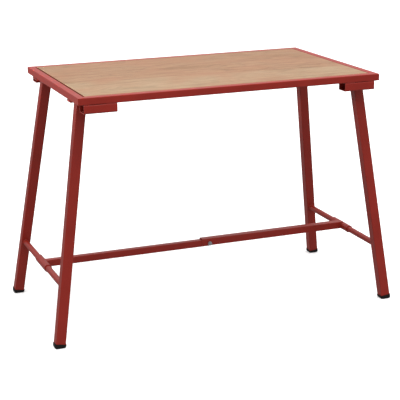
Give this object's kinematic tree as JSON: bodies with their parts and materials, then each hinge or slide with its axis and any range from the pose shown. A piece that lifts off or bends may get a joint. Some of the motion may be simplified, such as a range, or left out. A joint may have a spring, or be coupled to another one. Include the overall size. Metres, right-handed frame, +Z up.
{
  "type": "folding workbench",
  "caption": "Folding workbench with a plywood top flush in a red square-tube frame, splayed hinged legs and a bolted knee brace between the low ties.",
  "frame": {"origin": "on the floor, midway between the feet", "axes": "+X along the top to the right, +Y from front to rear, +Z up"},
  "size_m": [1.2933, 0.685, 0.86],
  "materials": {
    "red_paint": "semi-gloss enamel",
    "plywood": "sanded, clear sealed",
    "black_plastic": "moulded, matt",
    "zinc_steel": "zinc plated"
  },
  "bodies": {
    "top": {"front_rail": "red_paint", "rear_rail": "red_paint", "left_end_rail": "red_paint", "right_end_rail": "red_paint", "plywood_top": "plywood", "front_ledge": "red_paint", "rear_ledge": "red_paint", "left_ledge": "red_paint", "right_ledge": "red_paint", "panel_screws": "zinc_steel", "front_left_bracket": "red_paint", "rear_left_bracket": "red_paint", "front_right_bracket": "red_paint", "rear_right_bracket": "red_paint"},
    "left_leg_frame": {"left_pivot_bar": "red_paint", "left_pivot_pins": "zinc_steel", "left_tie": "red_paint", "front_left_leg": "red_paint", "front_left_leg_stop": "red_paint", "front_left_foot_cap": "black_plastic", "rear_left_leg": "red_paint", "rear_left_leg_stop": "red_paint", "rear_left_foot_cap": "black_plastic"},
    "right_leg_frame": {"right_pivot_bar": "red_paint", "right_pivot_pins": "zinc_steel", "right_tie": "red_paint", "front_right_leg": "red_paint", "front_right_leg_stop": "red_paint", "front_right_foot_cap": "black_plastic", "rear_right_leg": "red_paint", "rear_right_leg_stop": "red_paint", "rear_right_foot_cap": "black_plastic"},
    "left_brace": {"left_brace_sleeve": "red_paint", "left_brace_tube": "red_paint"},
    "right_brace": {"right_brace_sleeve": "red_paint", "right_brace_channel": "red_paint", "knee_bolt": "zinc_steel", "knee_nut": "zinc_steel", "knee_washers": "zinc_steel"}
  },
  "joints": [
    {"name": "left_leg_fold", "type": "hinge", "parent": "top", "child": "left_leg_frame", "pos_m": [-0.5, 0, 0.8185], "axis": [0, -1, 0], "range_deg": [0, 98]},
    {"name": "right_leg_fold", "type": "hinge", "parent": "top", "child": "right_leg_frame", "pos_m": [0.528, 0, 0.8185], "axis": [0, 1, 0], "range_deg": [0, 78]},
    {"name": "left_brace_swing", "type": "hinge", "parent": "left_leg_frame", "child": "left_brace", "pos_m": [-0.59564, 0, 0.2045], "axis": [0, -1, 0], "range_deg": [-276, 0]},
    {"name": "right_brace_swing", "type": "hinge", "parent": "right_leg_frame", "child": "right_brace", "pos_m": [0.60264, 0, 0.2045], "axis": [0, 1, 0], "range_deg": [-273, 0]}
  ],
  "couplings": [
    {"joint": "left_brace_swing", "follows": "left_leg_fold", "ratio": -2.816},
    {"joint": "right_brace_swing", "follows": "right_leg_fold", "ratio": -3.5}
  ]
}
